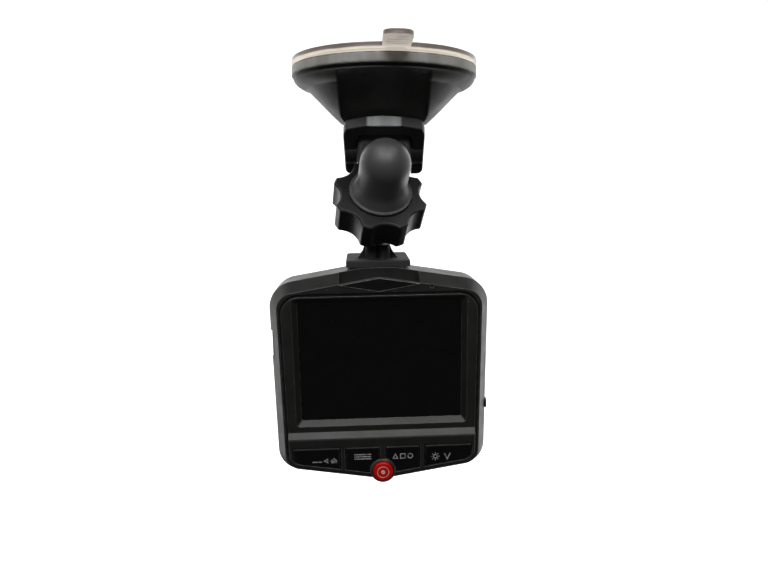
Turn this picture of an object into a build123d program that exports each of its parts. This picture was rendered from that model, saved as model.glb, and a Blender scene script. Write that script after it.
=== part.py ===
from build123d import *
import math
import os

# Windscreen dash camera on a suction-cup mount, in millimetres.
# Origin: centre of the suction face. +Z points out of that face, so the mount and the camera
# hang below it. -Y is the screen side, +Y the lens side, +X is right as seen from the screen.

# ---- suction cup ----
CUP_R = 27.8                  # radius of the pad and of the dome's rim
PAD_T = 2.4                   # thickness of the pad at its rim
PAD_DISH = 2.2                # how far the pad's middle is drawn in when the lever is locked
PAD_STEM_R = 5.0
PAD_STEM_Z = -6.8             # lower end of the pad's stem
TAB_W = 7.6                   # pull tab
TAB_L = 14.0
TAB_T = 1.3
TAB_X = 2.5                   # the tab sits a little off centre
TAB_TURN = 1.5                # degrees
RIM_END_Z = -5.1
GROOVE_END_Z = -6.0
DOME_BASE_Z = -18.5
RECESS_HALF = 12.6            # half width of the lever recess

# ---- plunger, lever and pin ----
PLUNGER_R = 3.0
PLUNGER_DISC_R = 6.5
PLUNGER_END_Z = -28.7
PLUNGER_TRAVEL = 2.1
PIN_Z = -26.5
PIN_R = 1.5
CAM_R = 4.0                   # round cam on each leg, about the pin
LEVER_Z = -28.5               # the lever's middle plane crosses the cup's axis here
LEVER_HALF = 12.2             # half width over the two legs
LEVER_INNER = 8.5             # half width between the legs
LEVER_T = 2.7                 # plate thickness
LEVER_REACH = 14.4            # cup's axis to the free end, along the lever
LEVER_WEB = 4.7               # depth of the cross web
LEVER_TAIL = 6.0              # cup's axis to the leg ends
LEVER_FACE = 19.0             # degrees, how far the end face leans back

# ---- arm, nut and ball ----
# The nut, ball, neck and camera are drawn about the neck's own axis, then hung in front of the cup's axis.
HANG_Y = -4.0
HANG_Z = 0.15
HUB_HALF_X = 8.35
HUB_FRONT_Y = -4.9
HUB_REAR_Y = 6.2
HUB_END_Z = -30.1
HUB_EDGE_R = 1.5
NECK_HALF_W = 6.8             # beam from the elbow back to the hub
NECK_HALF_H = 2.6
TUBE_R = 7.3
BALL_Z = -46.5
HANG_ROLL = -1.0              # degrees, the camera hangs a little askew on its ball
HANG_PAN = 2.4
BALL_R = 5.8
SEAT_R = BALL_R + 0.3
NUT_TILT = 45.0               # degrees between the nut's axis and the vertical
SOCKET_R = 9.2
COLLAR_R = 9.35
NUT_TO_BALL = 10.0            # nut's top face to the ball's centre, along the nut's axis
ELBOW_TO_NUT = 11.6           # elbow's centre to the nut's top face
SOCKET_YAW = 10.2             # degrees, the socket is turned a little to the left
ELBOW_X = 0.4                 # the elbow sits a little to the right of the cup's axis
SOCKET_LEFT = math.sin(math.radians(NUT_TILT)) * math.sin(math.radians(SOCKET_YAW))
HANG_X = ELBOW_X - (NUT_TO_BALL + ELBOW_TO_NUT) * SOCKET_LEFT
NUT_H = 9.2
NUT_R = 14.2
NUT_FLUTE_R = 12.0
NUT_BORE_R = SOCKET_R + 0.3
NUT_LIP = 12.4                # nut's top face to its lip

# ---- neck and slide plate ----
NECK_R = 2.0
PLATE_TOP_Z = -59.5
PLATE_T = 2.0
PLATE_HALF = 9.8
PLATE_REAR_Y = -8.0
PLATE_FRONT_Y = 12.0
RAIL_HALF = 5.0
RAIL_WEB_HALF = 2.6
RAIL_LIP_Z = -62.9
RAIL_BASE_Z = -64.3

# ---- camera housing ----
HALF_TOP = 33.3               # half width at the upper corners
HALF_BOTTOM = 32.5
TOP_APEX_Z = -60.8
BOTTOM_APEX_Z = -130.0
TOP_SLOPE = 9.3               # degrees
BOTTOM_SLOPE = 9.0
TOP_CORNER_R = 8.0
BOTTOM_CORNER_R = 7.5
REAR_Y = -14.3                # plane of the rear panel
BAND_REAR_Y = -9.0            # rear bevel ends here
PART_Y = -4.0                 # parting line of the two shells
BAND_FRONT_Y = 2.0
FRONT_Y = 10.0
REAR_BEVEL = 2.7
FRONT_BEVEL = 5.0
WALL = 1.8
ROOF_HALF = 13.6              # half width of the solid roof round the rail
ROOF_LOW_Z = -68.8
FLAT_TOP_Z = PLATE_TOP_Z - PLATE_T - 0.1
MOUTH_DEPTH = 6.4             # cut-out under the slide plate, from the rear panel inwards
MOUTH_FALL = (0, 0.93, -0.37) # the cut-out's floor falls towards the lens side

# ---- rear fascia: screen bezel and button panel in one moulding ----
FASCIA_INSET = 4.0
FASCIA_TOP_Z = -69.0
FASCIA_TOP_R = 5.5
FASCIA_GROOVE = 0.9
LEDGE_Y = -13.1
BEZEL_Y = -14.6
KEYPAD_Y = -15.9
STEP_TOP_Z = -111.1
STEP_LOW_Z = -113.0
SCREEN_W = 49.0               # active area of a 2.4 inch 4:3 panel
SCREEN_H = 36.7
SCREEN_Z = -89.35
SCREEN_BEVEL = 1.6

# ---- keys ----
KEY_TOP_Z = -115.9
KEY_INSET = 5.2
KEY_SPANS = {
    "button_left": (-28.5, -13.0),
    "button_menu": (-11.3, -1.0),
    "button_mode": (1.0, 11.3),
    "button_right": (13.0, 28.5),
}
KEY_GAP = 0.25
KEY_Y = -16.1
KEY_STEM_Y = -9.95
KEY_STEM_R = 1.6
OK_Z = -123.8
OK_R = 3.1
OK_RING_R = 3.75
OK_FACE_Y = -17.0
POWER_Z = -105.7
POWER_PROUD = 0.5

# ---- inside ----
BOARD_Y = -5.4                # front side of the main board
BOARD_T = 1.6
LENS_Z = -88.0
LENS_TIP_Y = 17.0
BARREL_R = 8.0
RING_R = 13.5
SCREW_SPOTS = [(-24.5, -74.5), (24.5, -74.5), (-24.5, -113.0), (24.5, -113.0)]
USB_Z = -84.0
CARD_Z = -100.0
PORT_Y = -8.1                 # both sockets stand on the board's rear side


def outline(half_top, corner_top, apex_top, half_bottom, corner_bottom, apex_bottom, r_top, r_bottom):
    """Six-sided outline in local (x, z) with rounded corners; an apex level with its corners drops out."""
    points = [(-half_top, corner_top)]
    if apex_top > corner_top:
        points.append((0, apex_top))
    points += [(half_top, corner_top), (half_bottom, corner_bottom)]
    points += [(0, apex_bottom), (-half_bottom, corner_bottom)]
    face = make_face(Polyline(*points, close=True))
    middle = (apex_bottom + apex_top) / 2
    face = fillet([v for v in face.vertices() if abs(v.X) > 1 and v.Y > middle], r_top)
    return fillet([v for v in face.vertices() if abs(v.X) > 1 and v.Y < middle], r_bottom)


def shield(inset):
    """The housing's outline, moved in by inset on every side."""
    top = math.radians(TOP_SLOPE)
    low = math.radians(BOTTOM_SLOPE)
    apex_top = TOP_APEX_Z - inset / math.cos(top)
    apex_low = BOTTOM_APEX_Z + inset / math.cos(low)
    half_top = HALF_TOP - inset
    half_low = HALF_BOTTOM - inset
    return outline(half_top, apex_top - half_top * math.tan(top), apex_top,
                   half_low, apex_low + half_low * math.tan(low), apex_low,
                   max(TOP_CORNER_R - inset, 1.5), max(BOTTOM_CORNER_R - inset, 1.5))


def fascia_outline(inset):
    """The fascia's outline, moved in by inset: a straight top and the housing's own sides and base."""
    low = math.radians(BOTTOM_SLOPE)
    apex_low = BOTTOM_APEX_Z + (FASCIA_INSET + inset) / math.cos(low)
    half_top = HALF_TOP - FASCIA_INSET - inset
    half_low = HALF_BOTTOM - FASCIA_INSET - inset
    top = FASCIA_TOP_Z - inset
    return outline(half_top, top, top, half_low, apex_low + half_low * math.tan(low), apex_low,
                   FASCIA_TOP_R - inset, max(BOTTOM_CORNER_R - FASCIA_INSET - inset, 1.0))


def across(sketch, y):
    """Stand a sketch drawn in (x, z) up in the plane at y."""
    return Plane(origin=(0, y, 0), x_dir=(1, 0, 0), z_dir=(0, -1, 0)) * sketch


def slab(sketch, y_rear, y_front):
    """Extrude a sketch drawn in (x, z) from y_rear to y_front."""
    return extrude(across(sketch, y_front), amount=y_front - y_rear)


def block(x0, x1, y0, y1, z0, z1):
    """A box between two corners."""
    return Pos((x0 + x1) / 2, (y0 + y1) / 2, (z0 + z1) / 2) * Box(x1 - x0, y1 - y0, z1 - z0)


def rod_y(x, z, r, y0, y1):
    """A cylinder along Y."""
    return Pos(x, (y0 + y1) / 2, z) * Rot(90, 0, 0) * Cylinder(r, y1 - y0)


def rod_x(y, z, r, x0, x1):
    """A cylinder along X."""
    return Pos((x0 + x1) / 2, y, z) * Rot(0, 90, 0) * Cylinder(r, abs(x1 - x0))


def rod_z(r, z0, z1):
    """A cylinder on the Z axis."""
    return Pos(0, 0, (z0 + z1) / 2) * Cylinder(r, z1 - z0)


def turned(points):
    """Revolve a closed (r, z) outline about the Z axis."""
    return revolve(make_face(Polyline(*[(r, 0, z) for r, z in points], close=True)), Axis.Z)


def save(shape, name):
    export_step(shape, "parts/" + name + ".step")


def hang(shape, name):
    """Save a piece that is drawn about the neck's axis and turns with the neck."""
    save(swung() * shape, name)


def hang_group(solids, name):
    """Save several alike solids as one piece."""
    save(Compound(children=[swung() * solid for solid in solids]), name)


def nut_frame(shift=(0, 0, 0)):
    """Local Z runs down the nut's axis, from 0 at the nut's top face."""
    tilt = math.radians(NUT_TILT)
    yaw = math.radians(SOCKET_YAW)
    down = Vector(-math.sin(tilt) * math.sin(yaw), math.sin(tilt) * math.cos(yaw), -math.cos(tilt))
    origin = Vector(*shift) + Vector(0, 0, BALL_Z) - down * NUT_TO_BALL
    return Plane(origin=origin, x_dir=(math.cos(yaw), math.sin(yaw), 0), z_dir=down)


def ball_sphere(radius):
    return Pos(0, 0, BALL_Z) * Sphere(radius)


def hung():
    """Moves what is drawn about the ball to where the socket holds it."""
    return Pos(HANG_X, HANG_Y, HANG_Z)


def swung():
    """As hung, and turned a little on the ball."""
    return hung() * Pos(0, 0, BALL_Z) * Rot(0, 0, HANG_PAN) * Rot(0, HANG_ROLL, 0) * Pos(0, 0, -BALL_Z)


# ---------------- suction cup ----------------

def suction_pad():
    """Soft disc with a flat rim, a dished middle, a stem and a ribbed pull tab."""
    flat = 15.0
    top = Spline((PAD_STEM_R, 0, -PAD_DISH), (flat, 0, 0), tangents=[(1, 0, 0), (1, 0, 0)])
    low = Spline((flat, 0, -PAD_T), (PAD_STEM_R, 0, -PAD_DISH - PAD_T), tangents=[(-1, 0, 0), (-1, 0, 0)])
    edges = [
        Line((0, 0, -PAD_DISH), (PAD_STEM_R, 0, -PAD_DISH)), top,
        Line((flat, 0, 0), (CUP_R, 0, 0)), Line((CUP_R, 0, 0), (CUP_R, 0, -PAD_T)),
        Line((CUP_R, 0, -PAD_T), (flat, 0, -PAD_T)), low,
        Line((PAD_STEM_R, 0, -PAD_DISH - PAD_T), (PAD_STEM_R, 0, PAD_STEM_Z)),
        Line((PAD_STEM_R, 0, PAD_STEM_Z), (0, 0, PAD_STEM_Z)), Line((0, 0, PAD_STEM_Z), (0, 0, -PAD_DISH)),
    ]
    disc = revolve(make_face(edges), Axis.Z)
    tab = block(-TAB_W / 2, TAB_W / 2, -CUP_R - TAB_L, -CUP_R + 3, -TAB_T, 0)
    ends = tab.edges().filter_by(Axis.Z).group_by(Axis.Y)[0]
    tab = fillet(ends, 3.2)
    for groove in range(3):
        y = -CUP_R - 3.2 - 2.2 * groove
        tab -= block(-TAB_W / 2 + 0.8, TAB_W / 2 - 0.8, y - 0.35, y + 0.35, -PAD_T, -TAB_T + 0.4)
    return disc + Pos(TAB_X, 0, 0) * Rot(0, 0, TAB_TURN) * tab


def suction_dome():
    """Hard cup with a banded rim, a shoulder, a convex cone, a lever recess and a bore for the plunger."""
    rim = Polyline((0, 0, -PAD_T), (CUP_R, 0, -PAD_T), (CUP_R, 0, RIM_END_Z), (CUP_R - 0.3, 0, RIM_END_Z - 0.2))
    shoulder = Spline((CUP_R - 0.3, 0, RIM_END_Z - 0.2), (26.7, 0, -7.0), (25.2, 0, -8.1), (23.3, 0, -8.7))
    flank = Spline((23.3, 0, -8.7), (19.9, 0, -12.0), (16.3, 0, -15.6), (13.2, 0, DOME_BASE_Z))
    base = Polyline((13.2, 0, DOME_BASE_Z), (0, 0, DOME_BASE_Z), (0, 0, -PAD_T))
    dome = revolve(make_face([*rim.edges(), shoulder, flank, *base.edges()]), Axis.Z)
    hollow = [(0, -1), (15, -1), (15, -PAD_T), (23.4, -PAD_T), (20.6, -5.2), (9, -9.8), (0, -9.8)]
    dome -= turned(hollow)
    groove = rod_z(CUP_R + 5, GROOVE_END_Z, RIM_END_Z) - Pos(0, 1.6, 0) * rod_z(CUP_R - 0.2, GROOVE_END_Z, RIM_END_Z)
    return dome - groove - lever_recess() - rod_z(PLUNGER_R + 0.3, -30, 0)


def lever_recess():
    """Scoop in the front of the dome that the lever swings up into."""
    ceiling = Spline((0, -27.2, -6.3), (0, -22.5, -6.9), (0, -17.0, -9.2), (0, -10.0, -14.4), (0, -4.4, -20.5))
    rest = Polyline((0, -4.4, -20.5), (0, -34, -20.5), (0, -34, -6.3), (0, -27.2, -6.3))
    return extrude(make_face([ceiling, *rest.edges()]), amount=RECESS_HALF, both=True)


def plunger_shaft():
    """Disc bonded to the pad's stem, with a round shaft down to the cross pin."""
    shaft = rod_z(PLUNGER_DISC_R, PAD_STEM_Z - 1.4, PAD_STEM_Z) + rod_z(PLUNGER_R, PLUNGER_END_Z, PAD_STEM_Z - 1.4)
    shaft = chamfer(shaft.edges().group_by(Axis.Z)[0], 0.5)
    return shaft - rod_x(0, PIN_Z, PIN_R + 0.02, -5, 5)


def lever_pin():
    pin = rod_x(0, PIN_Z, PIN_R, -LEVER_HALF + 0.2, LEVER_HALF - 0.2)
    return chamfer(pin.edges().filter_by(GeomType.CIRCLE), 0.3)


def lever_end():
    """The shape that trims the lever's free end: arched, round at the corners and leaning back."""
    lean = math.radians(LEVER_FACE)
    trim = Plane(origin=(0, 0, LEVER_Z), x_dir=(1, 0, 0), z_dir=(0, -math.sin(lean), -math.cos(lean)))
    reach = LEVER_REACH * math.cos(math.radians(45) - lean)
    arch_r = 42.0
    end = Pos(0, reach - 20) * Rectangle(2 * LEVER_HALF, 40)
    end = fillet(end.vertices().group_by(Axis.Y)[-1], 4.5) & (Pos(0, reach - arch_r) * Circle(arch_r))
    return extrude(trim * end, amount=40, both=True)


def cam_lever():
    """U-shaped plate: two legs with round cams on the pin, and a thick arched web at the free end."""
    plate = Plane(origin=(0, 0, LEVER_Z), x_dir=(1, 0, 0), z_dir=(0, -math.sqrt(0.5), -math.sqrt(0.5)))
    body = Pos(0, (LEVER_REACH - LEVER_TAIL) / 2 + 1) * Rectangle(2 * LEVER_HALF, LEVER_REACH + LEVER_TAIL + 2)
    body = fillet(body.vertices().group_by(Axis.Y)[0], 2.0)
    top = LEVER_REACH - LEVER_WEB
    hole = Pos(0, (top - 20) / 2) * Rectangle(2 * LEVER_INNER, top + 20)
    hole = fillet(hole.vertices().group_by(Axis.Y)[-1], 2.5)
    lever = extrude(plate * (body - hole), amount=LEVER_T / 2, both=True) & lever_end()
    front = lever.faces().sort_by(Axis((0, 0, 0), (0, -1, -1)))[-1]
    lever = fillet(front.outer_wire().edges(), 0.5)
    for side in (-1, 1):
        lever += rod_x(0, PIN_Z, CAM_R, side * LEVER_INNER, side * (LEVER_HALF - 0.3))
    return lever - rod_x(0, PIN_Z, PIN_R + 0.05, -20, 20)


# ---------------- arm, nut, ball, neck ----------------

def mount_arm():
    """Hub under the dome, beam, round elbow that flares to the socket, which the nut screws on to."""
    frame = nut_frame((HANG_X, HANG_Y, HANG_Z))
    back = -ELBOW_TO_NUT
    elbow = (frame * Pos(0, 0, back)).position
    hub = block(-HUB_HALF_X, HUB_HALF_X, HUB_FRONT_Y, HUB_REAR_Y, HUB_END_Z, DOME_BASE_Z)
    arm = fillet(hub.edges().filter_by(Axis.Z), HUB_EDGE_R)
    inner_end = Vector(0, -1.8, PIN_Z + 1.0)
    beam = Plane(origin=elbow, x_dir=(1, 0, 0), z_dir=inner_end - elbow)
    section = RectangleRounded(2 * NECK_HALF_W, 2 * NECK_HALF_H, NECK_HALF_H - 0.3)
    arm += extrude(beam * section, amount=(inner_end - elbow).length)
    arm += Pos(*elbow) * Sphere(TUBE_R)
    flare = Spline((TUBE_R, 0, back / 2), (TUBE_R + 0.25, 0, -3.6), (COLLAR_R - 0.7, 0, -1.0),
                   tangents=[(0, 0, 1), (0.4, 0, 1)])
    sides = Polyline((COLLAR_R - 0.7, 0, -1.0), (0, 0, -1.0), (0, 0, back), (TUBE_R, 0, back), (TUBE_R, 0, back / 2))
    arm += frame * revolve(make_face([flare, *sides.edges()]), Axis.Z)
    arm += frame * (Pos(0, 0, -0.65) * Cylinder(COLLAR_R, 0.7))
    arm += frame * (Pos(0, 0, NUT_TO_BALL / 2) * Cylinder(SOCKET_R, NUT_TO_BALL + 1.2))
    arm -= block(-20, 20, -40, 20, DOME_BASE_Z, 0)
    arm -= hung() * ball_sphere(SEAT_R)
    arm -= frame * (Pos(0, 0, NUT_TO_BALL + 5) * Cylinder(20, 10))
    sweep = Cylinder(NUT_R + 0.6, 20) - Cylinder(SOCKET_R + 0.1, 20)
    arm -= frame * (Pos(0, 0, 10 - 0.3) * sweep)
    arm -= frame * (Pos(0, -COLLAR_R, -0.6) * Box(0.9, 2.4, 1.1))
    arm -= rod_z(PLUNGER_R + 0.3, PLUNGER_END_Z - 0.5, 0)
    reach = PIN_R + 0.15
    lift = PIN_Z + PLUNGER_TRAVEL + 0.1
    slot = rod_x(0, PIN_Z, reach, -20, 20) + rod_x(0, lift, reach, -20, 20)
    slot += block(-20, 20, -reach, reach, PIN_Z, lift)
    return arm - slot


def clamp_nut():
    """Eight-lobed hand nut whose inner lip draws the ball up into the socket."""
    flute = 6.0
    outer = Circle(NUT_R)
    for k in range(8):
        outer -= Rot(0, 0, 45 * k) * Pos(NUT_FLUTE_R + flute, 0) * Circle(flute)
    outer = fillet(outer.vertices(), 0.9)
    nut = extrude(outer, amount=NUT_H)
    nut = chamfer(nut.faces().sort_by(Axis.Z)[-1].outer_wire().edges(), 0.5)
    nut = chamfer(nut.faces().sort_by(Axis.Z)[0].outer_wire().edges(), 0.4)
    height = NUT_LIP - NUT_H
    nut += Pos(0, 0, NUT_H + height / 2) * Cone(11.6, 8.6, height)
    nut -= Pos(0, 0, 5.15) * Cylinder(NUT_BORE_R, 10.3)
    return nut_frame() * nut - ball_sphere(SEAT_R)


def pivot_ball():
    return ball_sphere(BALL_R)


def neck_plate():
    """Neck of two round columns with gusset wings on a flat plate with a T rail."""
    foot = PLATE_TOP_Z
    neck = Pos(0, 0, (BALL_Z - 5.0 + foot) / 2) * Cylinder(NECK_R, BALL_Z - 5.0 - foot)
    for side in (-1, 1):
        column = Pos(side * 1.9, 0, foot + 2.1) * extrude(SlotCenterToCenter(4.2, 3.8, rotation=90), 4.2, both=False)
        neck += Pos(0, 0, -2.1) * column
        wing = make_face(Polyline((side * 3.2, 0, foot + 4.2), (side * 3.9, 0, foot + 4.2), (side * 4.6, 0, foot + 2.2),
                                  (side * 6.3, 0, foot), (side * 3.2, 0, foot), close=True))
        neck += extrude(wing, amount=1.3, both=True)
    plate = block(-PLATE_HALF, PLATE_HALF, PLATE_REAR_Y, PLATE_FRONT_Y, foot - PLATE_T, foot)
    plate = fillet(plate.edges().filter_by(Axis.Z), 1.0)
    plate = chamfer(plate.edges().group_by(Axis.Z)[-1], 0.3)
    rail_rear = PLATE_REAR_Y + 1.0
    rail = block(-RAIL_WEB_HALF, RAIL_WEB_HALF, rail_rear, FRONT_Y - 0.8, RAIL_LIP_Z, foot - PLATE_T)
    rail += block(-RAIL_HALF, RAIL_HALF, rail_rear, FRONT_Y - 0.8, RAIL_BASE_Z, RAIL_LIP_Z)
    return neck + plate + rail - ball_sphere(SEAT_R)


# ---------------- camera housing ----------------

def tee_slot():
    """Room for the T rail; it opens at the front and in the top of the housing."""
    gap = 0.15
    rear = PLATE_REAR_Y + 1.0 - 0.3
    slot = block(-RAIL_WEB_HALF - gap, RAIL_WEB_HALF + gap, rear, 30, RAIL_LIP_Z, -50)
    slot += block(-RAIL_HALF - gap, RAIL_HALF + gap, rear, 30, RAIL_BASE_Z - gap, RAIL_LIP_Z + gap)
    return slot


def ribs(y0, y1, half):
    """Webs that carry the rear posts from the side walls."""
    group = Part()
    for x, z in SCREW_SPOTS:
        wall = math.copysign(32, x)
        group += block(min(x, wall), max(x, wall), y0, y1, z - half, z + half)
    return group


def bosses(y0, y1, r):
    """One post at each screw."""
    group = Part()
    for spot in SCREW_SPOTS:
        group += rod_y(*spot, r, y0, y1)
    return group


def rear_shell():
    """Rear half of the case: band, bevel, rear panel with the fascia's pocket, and mount recess."""
    shell = slab(shield(0), BAND_REAR_Y, PART_Y)
    shell += loft([across(shield(0), BAND_REAR_Y), across(shield(REAR_BEVEL), REAR_Y)], ruled=True)
    inner = slab(shield(WALL), BAND_REAR_Y - 1, PART_Y + 1)
    inner += loft([across(shield(WALL), BAND_REAR_Y - 1), across(shield(REAR_BEVEL + 1.4), REAR_Y + 1.9)], ruled=True)
    roof = block(-ROOF_HALF, ROOF_HALF, REAR_Y, 30, ROOF_LOW_Z, -50)
    shell -= inner - roof
    shell -= slab(fascia_outline(-FASCIA_GROOVE), REAR_Y - 5, LEDGE_Y)
    shell -= slab(fascia_outline(0.8), REAR_Y - 5, REAR_Y + 4)
    shell -= block(-60, 60, -30, 30, FLAT_TOP_Z, -40)
    mouth = make_face(Polyline((-12, 0, TOP_APEX_Z - 4.6), (0, 0, TOP_APEX_Z - 2.65), (12, 0, TOP_APEX_Z - 4.6),
                               (12, 0, -50), (-12, 0, -50), close=True))
    shell -= extrude(Pos(0, REAR_Y, 0) * mouth, amount=MOUTH_DEPTH, dir=MOUTH_FALL)
    shell -= tee_slot()
    shell += bosses(-9.4, PART_Y, 2.4) + ribs(-9.4, PART_Y, 0.8)
    shell -= bosses(BOARD_Y - 2, PART_Y + 1, 1.0)
    shell -= rod_y(0, OK_Z, OK_RING_R + 0.1, -30, LEDGE_Y)
    shell -= rod_y(0, OK_Z, OK_R + 0.25, -30, BAND_REAR_Y)
    shell -= rod_y(15.5, -66.6, 0.6, -30, REAR_Y + 0.8)
    return shell


def front_shell():
    """Front half of the case: band, deep front bevel, lens collar, IR windows and speaker holes."""
    solid = slab(shield(0), PART_Y, BAND_FRONT_Y)
    solid += loft([across(shield(0), BAND_FRONT_Y), across(shield(FRONT_BEVEL), FRONT_Y)], ruled=True)
    inner = slab(shield(WALL), PART_Y - 1, BAND_FRONT_Y)
    inner += loft([across(shield(WALL), BAND_FRONT_Y), across(shield(FRONT_BEVEL + 1.2), FRONT_Y - WALL)], ruled=True)
    roof = block(-ROOF_HALF, ROOF_HALF, -30, 30, ROOF_LOW_Z, -50)
    shell = solid - (inner - roof)
    shell += bosses(PART_Y, FRONT_Y - 0.5, 2.9) & solid
    shell += rod_y(0, LENS_Z, BARREL_R + 3.4, FRONT_Y - 1, FRONT_Y + 3.5)
    shell -= rod_y(0, LENS_Z, BARREL_R + 0.05, -30, 30)
    shell -= block(-60, 60, -30, 30, FLAT_TOP_Z, -40)
    shell -= tee_slot()
    for side in (-1, 1):
        shell -= slab(Pos(side * 20, LENS_Z) * RectangleRounded(8.2, 14.2, 2.6), 0, 30)
    for row in range(3):
        for column in range(5):
            shell -= rod_y(3.0 * (column - 2), -108.0 - 2.6 * row, 0.7, 0, 30)
    shell -= bosses(PART_Y - 1, 30, 1.1)
    shell -= bosses(FRONT_Y - 3.2, 30, 2.2)
    return shell


def screen_opening():
    """Tapered window in the bezel: the screen's size behind, wider by the bevel in front."""
    wide = Rectangle(SCREEN_W + 2 * SCREEN_BEVEL, SCREEN_H + 2 * SCREEN_BEVEL)
    wide = fillet(wide.vertices(), 1.2)
    narrow = fillet(Rectangle(SCREEN_W, SCREEN_H).vertices(), 0.5)
    return loft([across(Pos(0, SCREEN_Z) * wide, BEZEL_Y), across(Pos(0, SCREEN_Z) * narrow, LEDGE_Y)], ruled=True)


def key_area(span, grow):
    """One key's outline: cut square at the top and sides, and by the housing's outline below."""
    x0, x1 = span
    low = -135.0
    top = KEY_TOP_Z + grow
    box = Pos((x0 + x1) / 2, (low + top) / 2) * Rectangle(x1 - x0 + 2 * grow, top - low)
    area = fascia_outline(KEY_INSET - FASCIA_INSET - grow) & box
    return area - Pos(0, OK_Z) * Circle(OK_RING_R + 0.5 - grow)


def rear_fascia():
    """Screen bezel and raised button panel in one moulding, set in the rear shell's pocket."""
    plate = slab(fascia_outline(0), BEZEL_Y, LEDGE_Y)
    raised = slab(fascia_outline(0), KEYPAD_Y, BEZEL_Y)
    side = make_face(Polyline((0, BEZEL_Y + 0.01, STEP_TOP_Z), (0, KEYPAD_Y, STEP_LOW_Z), (0, KEYPAD_Y - 1, STEP_LOW_Z),
                              (0, KEYPAD_Y - 1, -50), (0, BEZEL_Y + 0.01, -50), close=True))
    raised -= extrude(side, amount=60, both=True)
    trim = chamfer(raised.edges().group_by(Axis.Y)[0], 0.25)
    fascia = plate + trim - screen_opening()
    for span in KEY_SPANS.values():
        fascia -= slab(key_area(span, KEY_GAP), -30, 0)
    ring = rod_y(0, OK_Z, OK_RING_R, KEYPAD_Y - 0.4, LEDGE_Y)
    ring = chamfer(ring.edges().group_by(Axis.Y)[0], 0.2)
    fascia += ring & slab(shield(REAR_BEVEL - 0.9), -30, 0)
    return fascia - rod_y(0, OK_Z, OK_R + 0.25, -30, 0)


def diamond_insert():
    """Gloss facet let into the rear panel, level with the panel's top edge."""
    slope = math.tan(math.radians(TOP_SLOPE))
    top = TOP_APEX_Z - REAR_BEVEL / math.cos(math.radians(TOP_SLOPE)) - 0.25
    half = 12.1
    points = [(0, top), (half, top - half * slope), (0, -67.9), (-half, top - half * slope)]
    return slab(make_face(Polyline(*points, close=True)), REAR_Y - 0.35, REAR_Y)


def keys():
    """The four printed keys, each with a stem down to its switch."""
    made = {}
    for name, span in KEY_SPANS.items():
        cap = slab(key_area(span, 0), KEY_Y, LEDGE_Y + 0.3)
        cap = chamfer(cap.faces().sort_by(Axis.Y)[0].outer_wire().edges(), 0.25)
        x = (span[0] + span[1]) / 2
        made[name] = cap + rod_y(x, KEY_TOP_Z - 2.6, KEY_STEM_R, LEDGE_Y, KEY_STEM_Y)
    return made


def ok_button():
    """Round red key with a crowned face and a rounded edge."""
    key = rod_y(0, OK_Z, OK_R, OK_FACE_Y, LEDGE_Y + 0.5)
    key = fillet(key.edges().group_by(Axis.Y)[0], 0.6)
    return key + rod_y(0, OK_Z, KEY_STEM_R, LEDGE_Y, KEY_STEM_Y)


def power_button():
    """Small key that stands out of the right side."""
    edge = HALF_TOP - (HALF_TOP - HALF_BOTTOM) * 0.65
    key = block(edge - 3.0, edge + POWER_PROUD, -9.2, -6.2, POWER_Z - 1.6, POWER_Z + 1.6)
    return fillet(key.edges().filter_by(Axis.X), 1.2)


# ---------------- inside the camera ----------------

def main_board():
    board = slab(shield(4.6), BOARD_Y - BOARD_T, BOARD_Y)
    board -= block(-ROOF_HALF - 0.6, ROOF_HALF + 0.6, -30, 30, ROOF_LOW_Z - 0.4, -50)
    board -= bosses(-30, 30, 2.8) + ribs(-30, 30, 1.1)
    return board


def tact_switches():
    """One switch behind each key, with a gap of the key's travel."""
    places = [((a + b) / 2, KEY_TOP_Z - 2.6) for a, b in KEY_SPANS.values()] + [(0, OK_Z)]
    group = []
    for x, z in places:
        body = block(x - 1.7, x + 1.7, BOARD_Y - BOARD_T - 1.6, BOARD_Y - BOARD_T, z - 1.2, z + 1.2)
        group.append(body + rod_y(x, z, 0.9, BOARD_Y - BOARD_T - 2.4, BOARD_Y - BOARD_T - 1.6))
    return group


def case_screws():
    group = []
    for spot in SCREW_SPOTS:
        screw = rod_y(*spot, 1.0, PART_Y - 2.5, FRONT_Y - 3.2) + rod_y(*spot, 1.9, FRONT_Y - 3.2, FRONT_Y - 2.0)
        x, z = spot
        screw -= block(x - 1.2, x + 1.2, FRONT_Y - 2.7, FRONT_Y, z - 0.2, z + 0.2)
        screw -= block(x - 0.2, x + 0.2, FRONT_Y - 2.7, FRONT_Y, z - 1.2, z + 1.2)
        group.append(screw)
    return group


def lens_barrel():
    """Threaded-in lens body, bored from the front for the glass."""
    barrel = rod_y(0, LENS_Z, BARREL_R, 2.2, FRONT_Y + 5.5)
    barrel -= rod_y(0, LENS_Z, 2.4, 0, 30)
    cone = Pos(0, FRONT_Y + 3.4, LENS_Z) * Rot(-90, 0, 0) * Cone(3.6, 6.8, 4.4)
    return barrel - cone


def lens_ring():
    """Stepped trim ring round the barrel."""
    ring = rod_y(0, LENS_Z, RING_R, FRONT_Y, FRONT_Y + 4.2)
    ring = chamfer(ring.edges().group_by(Axis.Y)[-1], 1.2)
    ring += rod_y(0, LENS_Z, BARREL_R + 2.4, FRONT_Y + 4.2, LENS_TIP_Y)
    ring -= rod_y(0, LENS_Z, BARREL_R + 3.4, 0, FRONT_Y + 3.5)
    return ring - rod_y(0, LENS_Z, BARREL_R, 0, 30)


def lens_glass():
    """Crowned front element."""
    glass = rod_y(0, LENS_Z, BARREL_R, FRONT_Y + 5.5, FRONT_Y + 6.4)
    dome = Pos(0, FRONT_Y + 6.4 - 22.3, LENS_Z) * Sphere(23.6)
    return glass + (dome & rod_y(0, LENS_Z, 7.0, FRONT_Y + 6.0, FRONT_Y + 9))


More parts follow.
